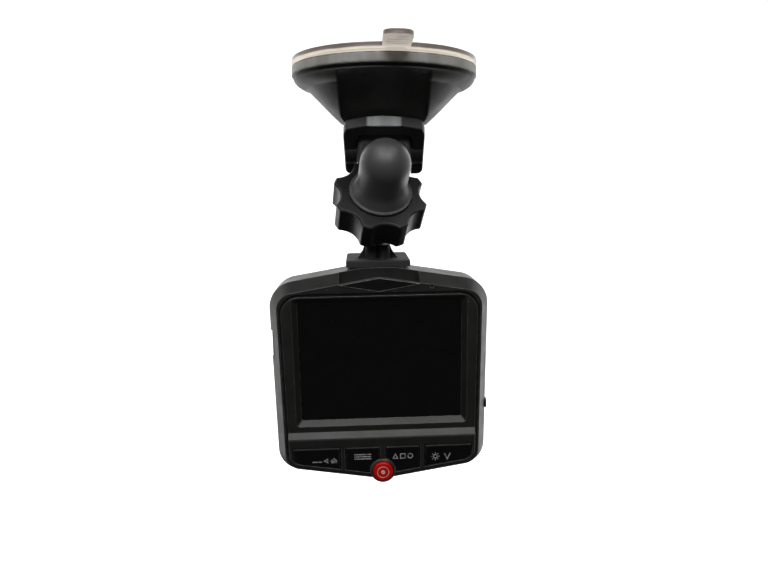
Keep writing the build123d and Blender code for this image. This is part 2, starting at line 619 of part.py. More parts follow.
def ir_window(side):
    return slab(Pos(side * 20, LENS_Z) * RectangleRounded(8.0, 14.0, 2.5), FRONT_Y - 1.2, FRONT_Y)


def ir_leds():
    group = []
    for side in (-1, 1):
        for k in (-1, 0, 1):
            group.append(rod_y(side * 20, LENS_Z + 4.2 * k, 1.5, 4.0, 7.4))
    return group


def memory_card():
    return block(-HALF_TOP + 1.2, -HALF_TOP + 13.4, PORT_Y - 0.35, PORT_Y + 0.35, CARD_Z - 5.5, CARD_Z + 5.5)


def card_socket():
    body = block(-30.6, -17.0, PORT_Y - 1.0, BOARD_Y - BOARD_T, CARD_Z - 7.0, CARD_Z + 7.0)
    return body - block(-40, -HALF_TOP + 13.6, PORT_Y - 0.55, PORT_Y + 0.55, CARD_Z - 5.7, CARD_Z + 5.7)


def usb_socket():
    body = block(-32.6, -24.0, PORT_Y - 2.0, PORT_Y + 1.1, USB_Z - 3.9, USB_Z + 3.9)
    body -= block(-40, -26.0, PORT_Y - 1.5, PORT_Y + 0.6, USB_Z - 3.4, USB_Z + 3.4)
    return body + block(-31.5, -25.9, PORT_Y - 0.6, PORT_Y, USB_Z - 2.4, USB_Z + 2.4)


def side_ports():
    """Openings in the rear shell's side wall for the sockets, the card and the power key."""
    cut = block(-40, -28.5, PORT_Y - 2.2, PORT_Y + 1.3, USB_Z - 4.1, USB_Z + 4.1)
    cut += block(-40, -29.5, PORT_Y - 0.7, PORT_Y + 0.7, CARD_Z - 5.9, CARD_Z + 5.9)
    power = block(26, 40, -9.4, -6.0, POWER_Z - 1.8, POWER_Z + 1.8)
    return cut + fillet(power.edges().filter_by(Axis.X), 1.4)


os.makedirs("parts", exist_ok=True)

save(suction_pad(), "suction_pad")
save(suction_dome(), "suction_dome")
save(plunger_shaft(), "plunger_shaft")
save(lever_pin(), "lever_pin")
save(cam_lever(), "cam_lever")
save(mount_arm(), "mount_arm")
save(hung() * clamp_nut(), "clamp_nut")
save(hung() * pivot_ball(), "pivot_ball")
hang(neck_plate(), "neck_plate")
hang(rear_shell() - side_ports(), "rear_shell")
hang(front_shell(), "front_shell")
hang(rear_fascia(), "rear_fascia")
hang(diamond_insert(), "diamond_insert")
for key_name, key_shape in keys().items():
    hang(key_shape, key_name)
hang(ok_button(), "ok_button")
hang(power_button(), "power_button")
hang(slab(Pos(0, SCREEN_Z) * Rectangle(SCREEN_W + 2.4, SCREEN_H + 1.6), LEDGE_Y, LEDGE_Y + 1.0), "lcd_window")
hang(slab(Pos(0, SCREEN_Z - 0.6) * Rectangle(52, 40), LEDGE_Y + 1.0, LEDGE_Y + 2.8), "lcd_panel")
hang(main_board(), "main_board")
hang(slab(Pos(-4, -110) * RectangleRounded(34, 16, 1.5), BOARD_Y, BOARD_Y + 4.6), "battery")
hang(slab(Pos(0, LENS_Z) * Rectangle(18, 18), -1.2, 0.0), "sensor_board")
hang(slab(Pos(0, LENS_Z) * Rectangle(6, 6), 0.0, 0.8), "image_sensor")
hang(lens_barrel(), "lens_barrel")
hang(lens_ring(), "lens_ring")
hang(lens_glass(), "lens_glass")
hang(ir_window(-1), "ir_window_left")
hang(ir_window(1), "ir_window_right")
hang_group(ir_leds(), "ir_leds")
hang(rod_y(0, -110.6, 8.0, 3.6, 7.6), "speaker")
hang(rod_y(15.5, -68.1, 1.5, -11.2, -9.8), "microphone")
hang(usb_socket(), "usb_socket")
hang(card_socket(), "card_socket")
hang(memory_card(), "memory_card")
hang_group(tact_switches(), "tact_switches")
hang_group(case_screws(), "case_screws")
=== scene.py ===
import math

import bmesh
import bpy
from mathutils import Matrix, Vector


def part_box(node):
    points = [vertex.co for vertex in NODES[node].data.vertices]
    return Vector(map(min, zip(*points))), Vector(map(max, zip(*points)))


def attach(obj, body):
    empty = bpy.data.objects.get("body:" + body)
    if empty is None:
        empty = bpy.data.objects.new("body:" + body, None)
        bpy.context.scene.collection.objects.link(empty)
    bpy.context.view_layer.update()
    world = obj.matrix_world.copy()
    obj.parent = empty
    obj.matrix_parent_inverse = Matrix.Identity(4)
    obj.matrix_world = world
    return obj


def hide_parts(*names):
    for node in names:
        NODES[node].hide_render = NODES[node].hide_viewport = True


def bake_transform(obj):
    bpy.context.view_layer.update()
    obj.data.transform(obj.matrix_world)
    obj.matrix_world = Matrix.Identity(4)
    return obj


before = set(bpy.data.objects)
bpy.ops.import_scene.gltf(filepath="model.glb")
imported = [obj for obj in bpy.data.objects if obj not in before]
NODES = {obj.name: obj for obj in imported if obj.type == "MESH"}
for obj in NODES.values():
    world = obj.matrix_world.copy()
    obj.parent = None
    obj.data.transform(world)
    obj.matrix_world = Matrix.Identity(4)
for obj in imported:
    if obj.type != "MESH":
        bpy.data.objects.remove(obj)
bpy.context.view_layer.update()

# Looks of a windscreen dash camera on a suction-cup mount, in metres.
# -Y is the screen side, +Z points at the glass.
MM = 0.001

DUST_TONE = (0.32, 0.31, 0.29)
PAD_PAINTED_GLOW = 0.5                # painted light: the pad glows to stand in for daylight that comes through its milky layer
BACKDROP_GLOW = 0.8           # keeps the floor and the backdrop white

# ---------------- material helpers ----------------

class Shader:
    """A material with one Principled shader, and short names for the nodes that feed it."""

    def __init__(self, name, **inputs):
        self.material = bpy.data.materials.new(name)
        self.material.use_nodes = True
        self.tree = self.material.node_tree
        self.out = self.tree.nodes["Material Output"]
        self.bsdf = self.tree.nodes["Principled BSDF"]
        for key, value in inputs.items():
            self.bsdf.inputs[key.replace("_", " ")].default_value = value
        self.place = self.add("ShaderNodeTexCoord").outputs["Object"]

    def add(self, kind, **settings):
        node = self.tree.nodes.new(kind)
        for key, value in settings.items():
            setattr(node, key, value)
        return node

    def link(self, source, target):
        self.tree.links.new(source, target)

    def noise(self, size, detail=3.0, rough=0.5, stretch=(1, 1, 1)):
        """Noise between about 0.3 and 0.7 whose features are size metres across."""
        mapping = self.add("ShaderNodeMapping")
        mapping.inputs["Scale"].default_value = stretch
        self.link(self.place, mapping.inputs["Vector"])
        node = self.add("ShaderNodeTexNoise")
        node.inputs["Scale"].default_value = 1.0 / size
        node.inputs["Detail"].default_value = detail
        node.inputs["Roughness"].default_value = rough
        self.link(mapping.outputs["Vector"], node.inputs["Vector"])
        return node.outputs["Fac"]

    def cells(self, size, feature="F1", spread=1.0):
        node = self.add("ShaderNodeTexVoronoi", feature=feature)
        node.inputs["Scale"].default_value = 1.0 / size
        node.inputs["Randomness"].default_value = spread
        self.link(self.place, node.inputs["Vector"])
        return node.outputs["Distance"]

    def remap(self, source, from_low, from_high, to_low, to_high):
        node = self.add("ShaderNodeMapRange")
        limits = {"From Min": from_low, "From Max": from_high, "To Min": to_low, "To Max": to_high}
        for key, value in limits.items():
            node.inputs[key].default_value = value
        self.link(source, node.inputs["Value"])
        return node.outputs["Result"]

    def mix(self, factor, first, second):
        """Blend two colours; each is a colour or another node's output."""
        node = self.add("ShaderNodeMix", data_type="RGBA")
        self.link(factor, node.inputs["Factor"])
        for value, socket in ((first, node.inputs["A"]), (second, node.inputs["B"])):
            if isinstance(value, tuple):
                socket.default_value = (*value, 1.0)
            else:
                self.link(value, socket)
        return node.outputs["Result"]

    def math(self, operation, first, second):
        node = self.add("ShaderNodeMath", operation=operation)
        for value, socket in ((first, node.inputs[0]), (second, node.inputs[1])):
            if isinstance(value, (int, float)):
                socket.default_value = value
            else:
                self.link(value, socket)
        return node.outputs["Value"]

    def bump(self, height, depth, normal=None):
        node = self.add("ShaderNodeBump")
        node.inputs["Strength"].default_value = 1.0
        node.inputs["Distance"].default_value = depth
        self.link(height, node.inputs["Height"])
        if normal is not None:
            self.link(normal, node.inputs["Normal"])
        return node.outputs["Normal"]

    def rounded(self, radius):
        """A normal that rounds the edges off by radius metres."""
        node = self.add("ShaderNodeBevel", samples=6)
        node.inputs["Radius"].default_value = radius
        return node.outputs["Normal"]

    def edges(self, normal):
        """1 on the edges that a rounded normal bends, 0 on the flats."""
        true = self.add("ShaderNodeNewGeometry").outputs["Normal"]
        node = self.add("ShaderNodeVectorMath", operation="DOT_PRODUCT")
        self.link(normal, node.inputs[0])
        self.link(true, node.inputs[1])
        return self.remap(node.outputs["Value"], 0.995, 0.86, 0.0, 1.0)

    def colour(self, source):
        self.link(source, self.bsdf.inputs["Base Color"])

    def roughness(self, source):
        self.link(source, self.bsdf.inputs["Roughness"])

    def normal(self, source):
        self.link(source, self.bsdf.inputs["Normal"])


def moulded(name, dark, light, rough, grain, depth, edge_wear_and_highlight_tone, edge_radius=0.25 * MM, dust=0.6, pale=None,
            shine=0.5):
    """Moulded black plastic: fine spark grain, edges lightened partly by wear and partly as a painted highlight,
    faint blotches and a few dust specks.

    pale is (direction, where it starts, how far it fades, first tone, second tone) of a paler zone;
    shine is the strength of the mirror layer, 0.5 for plain plastic."""
    s = Shader(name, Specular_IOR_Level=shine)
    bevel = s.rounded(edge_radius)
    worn = s.edges(bevel)
    tone = s.mix(s.remap(s.noise(9 * MM, 4), 0.35, 0.65, 0.0, 1.0), dark, light)
    if pale:
        direction, start, fade, first, second = pale
        along = s.add("ShaderNodeVectorMath", operation="DOT_PRODUCT")
        s.link(s.place, along.inputs[0])
        along.inputs[1].default_value = direction
        patch = s.mix(s.remap(s.noise(5 * MM, 3, 0.5, (1, 0.2, 0.2)), 0.42, 0.58, 0.0, 1.0), first, second)
        tone = s.mix(s.remap(along.outputs["Value"], start, start + fade, 0.0, 1.0), tone, patch)
    edge_patches = s.remap(s.noise(2.5 * MM, 4), 0.35, 0.6, 0.35, 1.0)
    # Edges are lightened towards the edge tone: partly wear, partly a painted highlight.
    tone = s.mix(s.math("MULTIPLY", worn, edge_patches), tone, edge_wear_and_highlight_tone)
    speck = s.remap(s.cells(2.6 * MM), 0.05, 0.035, 0.0, dust)
    drift = s.remap(s.noise(7 * MM, 2), 0.52, 0.6, 0.0, 1.0)
    s.colour(s.mix(s.math("MULTIPLY", speck, drift), tone, DUST_TONE))
    s.roughness(s.math("ADD", s.remap(s.noise(5 * MM, 5), 0.3, 0.7, rough - 0.05, rough + 0.07),
                       s.remap(s.noise(grain, 1), 0.3, 0.7, -0.03, 0.03)))
    s.normal(s.bump(s.noise(grain, 2, 0.6), depth, bevel))
    return s.material


def glossy(name, dark, light, rough, edge_wear_and_highlight_tone, coat=0.0, edge_radius=0.2 * MM):
    """Polished plastic: near-mirror, with faint smears, fine dust and edges painted bright, partly wear and
    partly a painted highlight.
    """
    s = Shader(name, Coat_Weight=coat, Coat_Roughness=0.06)
    bevel = s.rounded(edge_radius)
    worn = s.edges(bevel)
    tone = s.mix(s.remap(s.noise(6 * MM, 3), 0.35, 0.65, 0.0, 1.0), dark, light)
    # Painted highlight: edges lightened towards the edge tone, partly wear as well.
    tone = s.mix(s.math("MULTIPLY", worn, 0.7), tone, edge_wear_and_highlight_tone)
    speck = s.remap(s.cells(1.7 * MM), 0.04, 0.03, 0.0, 0.4)
    drift = s.remap(s.noise(5 * MM, 2), 0.5, 0.58, 0.0, 1.0)
    s.colour(s.mix(s.math("MULTIPLY", speck, drift), tone, (0.3, 0.3, 0.29)))
    smear = s.remap(s.noise(8 * MM, 5, 0.6, (1, 1, 2.5)), 0.4, 0.7, 0.0, 0.12)
    s.roughness(s.math("ADD", smear, s.remap(s.noise(0.6 * MM, 2), 0.3, 0.7, rough, rough + 0.03)))
    s.normal(s.bump(s.noise(3 * MM, 2), 0.004 * MM, bevel))
    return s.material


def soft_pad():
    """Milky soft plastic: cream where it is thick, smoky and a little pink towards the glass side; it glows as
    painted light where the cream layer lets daylight through.
    """
    s = Shader("soft_pad", Subsurface_Weight=0.25, Subsurface_Scale=1.2 * MM,
               Coat_Weight=0.25, Coat_Roughness=0.2)
    split = s.add("ShaderNodeSeparateXYZ")
    s.link(s.place, split.inputs["Vector"])
    sway = s.remap(s.noise(10 * MM, 2), 0.3, 0.7, -0.1 * MM, 0.1 * MM)
    height = s.math("ADD", split.outputs["Z"], sway)
    cloud = s.remap(s.noise(6 * MM, 4), 0.35, 0.65, 0.0, 1.0)
    cream = s.mix(cloud, (0.80, 0.75, 0.67), (0.68, 0.63, 0.54))
    blush = s.remap(s.noise(14 * MM, 2), 0.42, 0.6, 0.0, 1.0)
    smoke = s.mix(blush, (0.20, 0.185, 0.17), (0.27, 0.20, 0.185))
    upper = s.remap(height, PAD_MIDDLE - 0.12 * MM, PAD_MIDDLE + 0.12 * MM, 0.0, 1.0)
    tone = s.mix(upper, cream, smoke)
    s.colour(s.mix(s.remap(s.cells(1.9 * MM), 0.06, 0.04, 0.0, 0.6), tone, (0.25, 0.22, 0.2)))
    # Painted light: the emission stands in for daylight coming through the pad, cream below and nearly none in
    # the smoky layer.
    s.link(s.mix(upper, (0.80, 0.74, 0.65), (0.05, 0.043, 0.04)), s.bsdf.inputs["Emission Color"])
    s.bsdf.inputs["Emission Strength"].default_value = PAD_PAINTED_GLOW
    s.roughness(s.remap(s.noise(3 * MM, 4), 0.3, 0.7, 0.28, 0.45))
    s.normal(s.bump(s.noise(1.6 * MM, 3), 0.02 * MM, s.rounded(0.2 * MM)))
    return s.material


def metal(name, tone, dark, rough):
    """Plated or brushed metal with fine streaks."""
    s = Shader(name, Metallic=1.0)
    streak = s.noise(0.5 * MM, 3, 0.6, (1, 1, 14))
    s.colour(s.mix(s.remap(streak, 0.3, 0.7, 0.0, 1.0), dark, tone))
    s.roughness(s.remap(s.noise(0.8 * MM, 3), 0.3, 0.7, rough - 0.06, rough + 0.08))
    s.normal(s.bump(streak, 0.003 * MM, s.rounded(0.1 * MM)))
    return s.material


def circuit(name):
    """Green solder mask with copper tracks showing through."""
    s = Shader(name, Coat_Weight=0.5, Coat_Roughness=0.15)
    track = s.remap(s.cells(1.4 * MM, "DISTANCE_TO_EDGE", 0.6), 0.04, 0.07, 1.0, 0.0)
    tone = s.mix(s.remap(s.noise(4 * MM, 3), 0.3, 0.7, 0.0, 1.0), (0.01, 0.10, 0.03), (0.015, 0.14, 0.045))
    s.colour(s.mix(track, tone, (0.05, 0.24, 0.07)))
    s.roughness(s.remap(s.noise(2 * MM, 3), 0.3, 0.7, 0.25, 0.4))
    s.normal(s.bump(track, 0.02 * MM))
    return s.material


def red_key():
    """Satin red plastic, deeper red in places, with slightly paler edges."""
    s = Shader("ok_red", Coat_Weight=0.05, Coat_Roughness=0.1, Specular_IOR_Level=0.12)
    bevel = s.rounded(0.35 * MM)
    patches = s.remap(s.noise(1.4 * MM, 3), 0.35, 0.65, 0.0, 1.0)
    tone = s.mix(patches, (0.40, 0.004, 0.003), (0.52, 0.008, 0.006))
    s.colour(s.mix(s.math("MULTIPLY", s.edges(bevel), 0.15), tone, (0.60, 0.04, 0.03)))
    s.roughness(s.remap(s.noise(0.7 * MM, 3), 0.3, 0.7, 0.22, 0.36))
    s.normal(s.bump(s.noise(0.25 * MM, 2), 0.006 * MM, bevel))
    return s.material


def ink_and_highlight_line(name, bright, worn):
    """Printed ink with patchy cover, also used for a painted highlight line."""
    s = Shader(name)
    s.colour(s.mix(s.remap(s.noise(0.5 * MM, 4), 0.4, 0.62, 0.0, 1.0), bright, worn))
    s.roughness(s.remap(s.noise(0.3 * MM, 2), 0.3, 0.7, 0.4, 0.6))
    s.normal(s.bump(s.noise(0.2 * MM, 2), 0.01 * MM))
    return s.material


def coated_glass():
    """Lens glass: dark, clear at the surface, with a blue-violet tint towards the rim where the surface turns
    from the view, painted as the coating's reflection.
    """
    s = Shader("lens_glass", Coat_Weight=1.0, Coat_Roughness=0.02, Coat_Tint=(0.75, 0.8, 1.0, 1.0))
    facing = s.add("ShaderNodeLayerWeight")
    facing.inputs["Blend"].default_value = 0.35
    # Painted reflection: the tint follows the viewing angle, as the coating's reflection does.
    s.colour(s.mix(facing.outputs["Facing"], (0.006, 0.006, 0.012), (0.05, 0.02, 0.12)))
    s.roughness(s.remap(s.noise(3 * MM, 3), 0.3, 0.7, 0.02, 0.06))
    s.normal(s.bump(s.noise(2 * MM, 2), 0.002 * MM))
    return s.material


def white_studio(name, tone):
    """Matt white paper, a little uneven."""
    s = Shader(name, Emission_Color=(1, 1, 1, 1), Emission_Strength=BACKDROP_GLOW)
    shade = tuple(0.985 * v for v in tone)
    s.colour(s.mix(s.remap(s.noise(60 * MM, 3), 0.3, 0.7, 0.0, 1.0), tone, shade))
    s.roughness(s.remap(s.noise(20 * MM, 2), 0.3, 0.7, 0.85, 0.95))
    return s.material


# ---------------- mesh helpers ----------------

def mesh_piece(name, bm, material, body, smooth=True):
    """Turn a bmesh into a piece that rides on a body, or on none."""
    bmesh.ops.recalc_face_normals(bm, faces=bm.faces[:])
    mesh = bpy.data.meshes.new(name)
    bm.to_mesh(mesh)
    bm.free()
    for face in mesh.polygons:
        face.use_smooth = smooth
    mesh.materials.append(material)
    piece = bpy.data.objects.new(name, mesh)
    bpy.context.scene.collection.objects.link(piece)
    if body:
        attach(piece, body)
    return piece


def stroke(bm, points, width, y, thick, closed=False):
    """A flat raised line of even width through (x, z) points.

    It stands thick out of the plane at y, towards -Y."""
    count = len(points)
    offsets = []
    for k, point in enumerate(points):
        before = points[(k - 1) % count] if closed or k > 0 else point
        after = points[(k + 1) % count] if closed or k < count - 1 else point
        into = (Vector(point) - Vector(before)).normalized() if before != point else None
        out = (Vector(after) - Vector(point)).normalized() if after != point else None
        into, out = into or out, out or into
        along = (into + out).normalized()
        side = Vector((-along.y, along.x))
        reach = 0.5 * width / max(side.dot(Vector((-out.y, out.x))), 0.4)
        offsets.append(side * reach)
    rings = []
    for point, offset in zip(points, offsets):
        left, right = Vector(point) + offset, Vector(point) - offset
        rings.append([bm.verts.new((p.x, depth, p.y)) for p, depth in
                      ((left, y), (left, y - thick), (right, y - thick), (right, y))])
    last = count if closed else count - 1
    for k in range(last):
        first, second = rings[k], rings[(k + 1) % count]
        for side in range(4):
            bm.faces.new((first[side], first[(side + 1) % 4], second[(side + 1) % 4], second[side]))
    if not closed:
        bm.faces.new(rings[0])
        bm.faces.new(rings[-1][::-1])


def arc(x, z, radius, start, end, steps):
    """Points on a circle round (x, z), from start to end degrees."""
    angles = [math.radians(start + (end - start) * k / steps) for k in range(steps + 1)]
    return [(x + radius * math.cos(a), z + radius * math.sin(a)) for a in angles]


def ring_points(x, z, radius, steps):
    return arc(x, z, radius, 0, 360, steps)[:-1]


def disc(bm, x, z, radius, y, thick, steps=24):
    """A flat raised dot."""
    points = ring_points(x, z, radius, steps)
    low = [bm.verts.new((px, y, pz)) for px, pz in points]
    high = [bm.verts.new((px, y - thick, pz)) for px, pz in points]
    bm.faces.new(low)
    bm.faces.new(high[::-1])
    for k in range(steps):
        bm.faces.new((low[k], low[(k + 1) % steps], high[(k + 1) % steps], high[k]))


# ---------------- suction pad ----------------

pad_low, pad_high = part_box("suction_pad")
dome_low, dome_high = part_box("suction_dome")
PAD_R = pad_high.x
PAD_T = -dome_high.z
PAD_DISH = 2.2 * MM
PAD_FLAT_R = 15 * MM
STEM_R = 5.0 * MM
STEM_END = pad_low.z
TAB_HALF = 3.8 * MM
TAB_T = 1.3 * MM
PAD_MIDDLE = -TAB_T + 0.15 * MM   # the smoky upper layer ends here
TAB_END = -pad_low.y
TAB_CORNER = 3.2 * MM
TAB_X = 2.5 * MM
TAB_TURN = math.radians(1.5)
TAB_SWING = math.asin(TAB_X / PAD_R) + TAB_TURN   # where the tongue leaves the disc
TAB_SKEW = math.tan(TAB_SWING - TAB_TURN)         # leans it back to its own direction
RIM = 2.4 * MM                # width of the ring in which the outline changes from a circle to the tab


def pad_outline():
    """Points round the pad's edge, anticlockwise, with a tongue to -Y, before the tongue is turned."""
    root = math.asin(TAB_HALF / PAD_R)
    start, turn = -math.pi / 2 + root, 2 * math.pi - 2 * root
    angles = [start + turn * k / 300 for k in range(301)]
    points = [(PAD_R * math.cos(a), PAD_R * math.sin(a)) for a in angles]
    side = PAD_R * math.cos(root)
    straight = [side + (TAB_END - TAB_CORNER - side) * k / 16 for k in range(1, 17)]
    tab = [(-TAB_HALF, -y) for y in straight]
    for a in (math.pi / 2 * k / 12 for k in range(1, 13)):
        tab.append((-TAB_HALF + TAB_CORNER * (1 - math.cos(a)), -TAB_END + TAB_CORNER * (1 - math.sin(a))))
    flat = 2 * (TAB_HALF - TAB_CORNER)
    tab += [(-TAB_HALF + TAB_CORNER + flat * k / 6, -TAB_END) for k in range(1, 6)]
    mirrored = [(-x, y) for x, y in tab[:28]][::-1]
    return points + tab + mirrored


def dish(radius):
    """How far the locked pad's middle is drawn in at this radius."""
    if radius >= PAD_FLAT_R:
        return 0.0
    t = max(0.0, (radius - STEM_R) / (PAD_FLAT_R - STEM_R))
    return PAD_DISH * (1 - t * t * (3 - 2 * t))


def suction_pad(material):
    """Dished disc with a rolled edge and a tongue that has three grooves underneath."""
    outer = pad_outline()
    count = len(outer)
    corner = 0.28 * MM
    groove_at = [-(PAD_R + (3.2 + 2.2 * k) * MM) for k in range(3)]
    bm = bmesh.new()

    def spot(x, y, z):
        turn = TAB_SWING
        x -= TAB_SKEW * max(0.0, -y - PAD_R)
        turned = (x * math.cos(turn) - y * math.sin(turn), x * math.sin(turn) + y * math.cos(turn), z)
        return bm.verts.new(turned)

    def groove(x, y):
        """Depth of the tongue's grooves at a point underneath."""
        across = max(0.0, 1 - max(0.0, abs(x) - TAB_HALF + 1.3 * MM) / (0.4 * MM))
        return sum(0.42 * MM * across * math.exp(-((y - at) / (0.27 * MM)) ** 2) for at in groove_at)

    def ring_at(share, inset, z, under):
        made = []
        for x, y in outer:
            length = math.hypot(x, y)
            near = (PAD_R - RIM) / length
            k = near + (1 - near) * share
            px, py = x * k, y * k
            shrink = 1 - inset / math.hypot(px, py)
            px, py = px * shrink, py * shrink
            made.append(spot(px, py, z + (groove(px, py) if under else 0.0)))
        return made

    def circle_at(radius, z):
        return [spot(x * radius / math.hypot(x, y), y * radius / math.hypot(x, y), z) for x, y in outer]

    radii = [r * MM for r in (*range(5, 15), *range(15, 25, 3))]
    rings = [circle_at(0.5 * STEM_R, -PAD_DISH)]
    rings += [circle_at(r, -dish(r)) for r in radii]
    rings += [ring_at(k / 5, 0.0, 0.0, False) for k in range(5)]
    turn = [math.pi / 2 * k / 4 for k in range(5)]
    for a in turn:
        rings.append(ring_at(1.0, corner * (1 - math.sin(a)), -corner * (1 - math.cos(a)), False))
    for k in range(1, 4):
        waist = 0.05 * MM * math.sin(math.pi * k / 4)
        rings.append(ring_at(1.0, waist, -corner - (TAB_T - 2 * corner) * k / 4, False))
    for a in turn:
        rings.append(ring_at(1.0, corner * (1 - math.cos(a)), -TAB_T + corner * (1 - math.sin(a)), False))
    rings += [ring_at(1 - k / 60, 0.0, -TAB_T, True) for k in range(2, 56)]
    rings += [circle_at(PAD_R - 0.45 * MM, -PAD_T + 0.1 * MM), circle_at(PAD_R - 0.7 * MM, -PAD_T)]
    rings += [circle_at(r, -PAD_T - dish(r)) for r in radii[::-1]]
    rings += [circle_at(STEM_R, STEM_END), circle_at(0.5 * STEM_R, STEM_END)]
    for first, second in zip(rings, rings[1:]):
        for k in range(count):
            bm.faces.new((first[k], first[(k + 1) % count], second[(k + 1) % count], second[k]))
    bm.faces.new(rings[0])
    bm.faces.new(rings[-1][::-1])
    return mesh_piece("soft_pad", bm, material, None)


# ---------------- printed marks ----------------

def level_box(node):
    """A camera piece's box as it would be with the camera hanging straight."""
    to_level = HANG.inverted()
    points = [to_level @ v.co for v in NODES[node].data.vertices]
    low = Vector([min(p[k] for p in points) for k in range(3)])
    high = Vector([max(p[k] for p in points) for k in range(3)])
    return low, high


def key_mark(name, body, shift, draw, material):
    """A thin raised print on a key.

    draw gets the bmesh, the print's middle and the plane of the key's face; shift is in millimetres,
    sideways from the key's middle and up from its top edge."""
    low, high = level_box(body)
    bm = bmesh.new()
    draw(bm, 0.5 * (low.x + high.x) + shift[0] * MM, high.z + shift[1] * MM, low.y)
    bm.transform(HANG)
    return mesh_piece(name, bm, material, body, smooth=False)


def draw_menu(bm, x, z, y):
    """Three bars."""
    half, pitch = 2.6 * MM, 0.72 * MM
    for row in (-1, 0, 1):
        stroke(bm, [(x - half, z + row * pitch), (x + half, z + row * pitch)], INK_WIDTH, y, INK)


def draw_mode(bm, x, z, y):
    """A triangle, a square and a circle in a row."""
    half, fine = 0.72 * MM, 0.26 * MM
    pitch = 2.3 * MM
    triangle = [(-1, -1), (0, 1), (1, -1)]
    square = [(-1, -1), (-1, 1), (1, 1), (1, -1)]
    for middle, shape in ((x - pitch, triangle), (x, square)):
        stroke(bm, [(middle + half * px, z + half * pz) for px, pz in shape], fine, y, INK, closed=True)
    stroke(bm, ring_points(x + pitch, z, half, 28), fine, y, INK, closed=True)


def draw_back(bm, x, z, y):
    """A dash, an outlined arrowhead to the left and one upwards over a bar."""
    fine = 0.24 * MM

    def at(*points):
        return [(x + px * MM, z + pz * MM) for px, pz in points]

    stroke(bm, at((-4.4, -0.3), (-1.4, -0.3)), INK_WIDTH, y, INK)
    stroke(bm, at((0.3, 0.6), (-0.8, 0.0), (0.3, -0.6)), fine, y, INK, closed=True)
    stroke(bm, at((1.3, -0.1), (2.2, 0.75), (3.1, -0.1)), fine, y, INK, closed=True)
    stroke(bm, at((1.3, -0.6), (3.1, -0.6)), fine, y, INK)


def draw_light(bm, x, z, y):
    """A lamp with rays, and an arrowhead downwards."""
    lamp_x, bulb, near, far = x - 2.1 * MM, 0.58 * MM, 0.9 * MM, 1.3 * MM
    stroke(bm, ring_points(lamp_x, z, bulb, 24), 0.26 * MM, y, INK, closed=True)
    for k in range(8):
        cos, sin = math.cos(math.pi / 4 * k), math.sin(math.pi / 4 * k)
        ray = [(lamp_x + near * cos, z + near * sin), (lamp_x + far * cos, z + far * sin)]
        stroke(bm, ray, 0.24 * MM, y, INK)
    arrow_x, half = x + 1.6 * MM, 0.9 * MM
    rise = 0.95 * MM
    stroke(bm, [(arrow_x - half, z + rise), (arrow_x, z - rise), (arrow_x + half, z + rise)], INK_WIDTH, y, INK)


def ok_mark(material):
    """A ring with a dot in the middle of the red key."""
    low, high = level_box("ok_button")
    x, z = 0.5 * (low.x + high.x), 0.5 * (low.z + high.z)
    bm = bmesh.new()
    stroke(bm, ring_points(x, z, 1.75 * MM, 40), 0.2 * MM, low.y, INK, closed=True)
    disc(bm, x, z, 0.62 * MM, low.y, INK)
    bm.transform(HANG)
    return mesh_piece("ok_mark", bm, material, "ok_button", smooth=False)


def diamond_edge_highlight(material):
    """A painted highlight: a thin pale raised line round the gloss facet, where its cut edge catches the light.
    """
    low, high = level_box("diamond_insert")
    x, half, inset = 0.5 * (low.x + high.x), 0.5 * (high.x - low.x), 0.1 * MM
    corner_z = high.z - half * math.tan(TOP_SLOPE)
    side = half - 4 * inset   # the sharp side corners need more room for the line
    points = [(x - side, corner_z), (x, low.z + inset), (x + side, corner_z), (x, high.z - inset)]
    bm = bmesh.new()
    stroke(bm, points, 0.16 * MM, low.y, INK, closed=True)
    bm.transform(HANG)
    return mesh_piece("diamond_edge_highlight", bm, material, "camera", smooth=False)


INK = 0.03 * MM               # how far a print stands proud
INK_WIDTH = 0.32 * MM
ball_low, ball_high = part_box("pivot_ball")
BALL = 0.5 * (ball_low + ball_high)
HANG_ROLL = math.radians(-1.0)    # how the camera hangs on its ball
HANG_PAN = math.radians(2.4)
TOP_SLOPE = math.radians(9.3)     # of the housing's top
SWING = Matrix.Rotation(HANG_PAN, 4, "Z") @ Matrix.Rotation(HANG_ROLL, 4, "Y")
HANG = Matrix.Translation(BALL) @ SWING @ Matrix.Translation(-BALL)


# ---------------- put the looks on ----------------

LEAN = math.radians(19.0)
LEVER_FACE = (0, -math.cos(LEAN), math.sin(LEAN))     # the way the lever's end face looks
LEVER_REACH = max(Vector(LEVER_FACE).dot(v.co) for v in NODES["cam_lever"].data.vertices)
LEVER_HIGHLIGHT_START = LEVER_REACH - 0.35 * MM                  # the end face alone is painted pale, a painted highlight
BAND_LOW = dome_low.z + 13.2 * MM                     # lower edge of the dome's pale rim band

case = moulded("case_black", (0.0075, 0.0072, 0.0065), (0.0110, 0.0107, 0.0098), 0.42, 0.11 * MM, 0.010 * MM,
               (0.16, 0.157, 0.15))
mount = moulded("mount_black", (0.014, 0.014, 0.0145), (0.020, 0.020, 0.0205), 0.44, 0.16 * MM, 0.016 * MM,
                (0.11, 0.112, 0.118), 0.35 * MM)
RIM_BAND = ((0, 0, 1), BAND_LOW, 0.3 * MM, (0.38, 0.375, 0.355), (0.30, 0.295, 0.28))
dome_black = moulded("dome_black", (0.040, 0.0395, 0.038), (0.060, 0.059, 0.057), 0.50, 0.16 * MM, 0.016 * MM,
                     (0.06, 0.06, 0.058), 1.0 * MM, pale=RIM_BAND)
arm_black = moulded("arm_black", (0.054, 0.054, 0.0545), (0.068, 0.068, 0.0685), 0.42, 0.14 * MM, 0.012 * MM,
                    (0.22, 0.22, 0.225), 0.3 * MM, shine=0.6)
